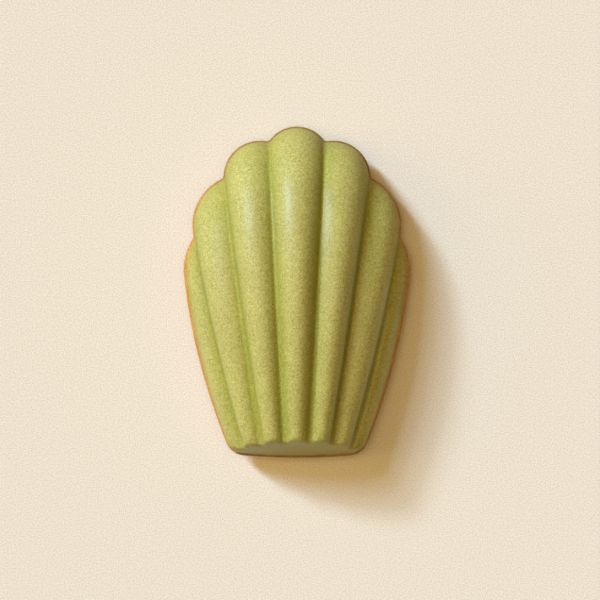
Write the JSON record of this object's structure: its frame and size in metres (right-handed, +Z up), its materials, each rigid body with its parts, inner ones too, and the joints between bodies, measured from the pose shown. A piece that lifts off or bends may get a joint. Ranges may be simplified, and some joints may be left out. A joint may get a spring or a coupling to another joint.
{
  "type": "madeleine cake",
  "caption": "Small shell-shaped sponge cake of green tea batter, lying ribbed side up on its rounded back, with a thin browned rim.",
  "frame": {"origin": "on the flat that the cake rests on, under the middle of its length and width", "axes": "+Z up, out of the ribbed shell side; +Y along the cake towards its wide scalloped end; +X across the ribs"},
  "size_m": [0.0514, 0.075, 0.0224],
  "materials": {
    "sponge": "smooth baked skin with a soft sheen"
  },
  "bodies": {
    "root": {"madeleine": "sponge"}
  },
  "joints": []
}
